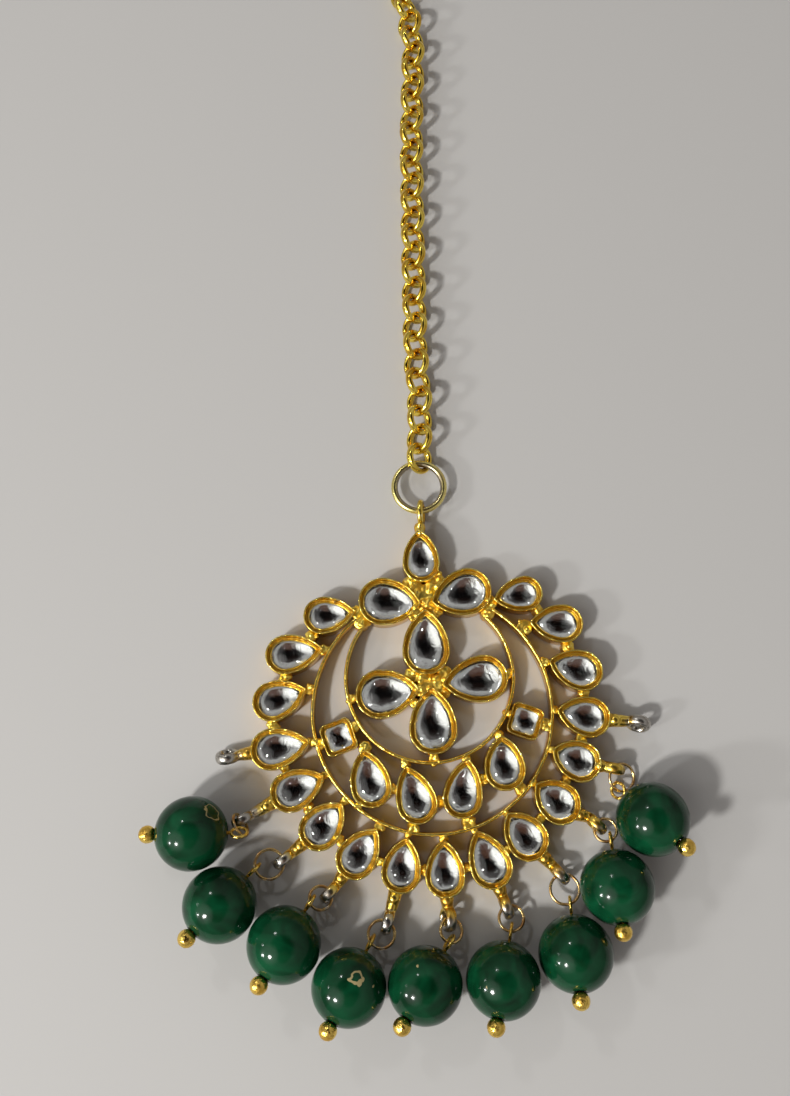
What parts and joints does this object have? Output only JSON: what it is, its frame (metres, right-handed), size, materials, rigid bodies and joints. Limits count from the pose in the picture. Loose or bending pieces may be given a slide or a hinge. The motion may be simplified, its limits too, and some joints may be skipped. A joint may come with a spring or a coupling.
{
  "type": "forehead ornament with chain",
  "caption": "Bridal forehead ornament: a crescent pendant of domed glass stones in gold-plated cups with green bead drops, a jump ring, a round-link chain and a hair hook.",
  "frame": {"origin": "middle of the four-petal flower, on the flat back of the cups", "axes": "+X to the right in the picture, +Y up the chain, +Z out of the stones' side"},
  "size_m": [0.0595, 0.1391, 0.0079],
  "materials": {
    "gold_plate": "bright gold plate over cast and soldered brass",
    "worn_plate": "thin pale gold plate, worn",
    "foiled_glass": "domed clear glass with a silvered back",
    "green_bead": "glossy deep green coat over a pale core"
  },
  "bodies": {
    "root": {"frame": "gold_plate", "stone_top": "foiled_glass", "stone_upper_left": "foiled_glass", "stone_upper_right": "foiled_glass", "stone_petal_up": "foiled_glass", "stone_petal_right": "foiled_glass", "stone_petal_left": "foiled_glass", "stone_petal_down": "foiled_glass", "stone_inner_1": "foiled_glass", "stone_inner_2": "foiled_glass", "stone_inner_3": "foiled_glass", "stone_inner_4": "foiled_glass", "stone_outer_1": "foiled_glass", "stone_outer_2": "foiled_glass", "stone_outer_3": "foiled_glass", "stone_outer_4": "foiled_glass", "stone_outer_5": "foiled_glass", "stone_outer_6": "foiled_glass", "stone_outer_7": "foiled_glass", "stone_outer_8": "foiled_glass", "stone_outer_9": "foiled_glass", "stone_outer_10": "foiled_glass", "stone_outer_11": "foiled_glass", "stone_outer_12": "foiled_glass", "stone_outer_13": "foiled_glass", "stone_outer_14": "foiled_glass", "stone_outer_15": "foiled_glass", "stone_outer_16": "foiled_glass", "stone_outer_17": "foiled_glass", "stone_square_left": "foiled_glass", "stone_square_right": "foiled_glass", "bead_1": "green_bead", "bead_2": "green_bead", "bead_3": "green_bead", "bead_4": "green_bead", "bead_5": "green_bead", "bead_6": "green_bead", "bead_7": "green_bead", "bead_8": "green_bead", "bead_9": "green_bead", "pin_1": "gold_plate", "pin_2": "gold_plate", "pin_3": "gold_plate", "pin_4": "gold_plate", "pin_5": "gold_plate", "pin_6": "gold_plate", "pin_7": "gold_plate", "pin_8": "gold_plate", "pin_9": "gold_plate", "drop_rings": "worn_plate", "jump_ring": "gold_plate", "chain": "gold_plate", "hair_hook": "gold_plate"}
  },
  "joints": []
}
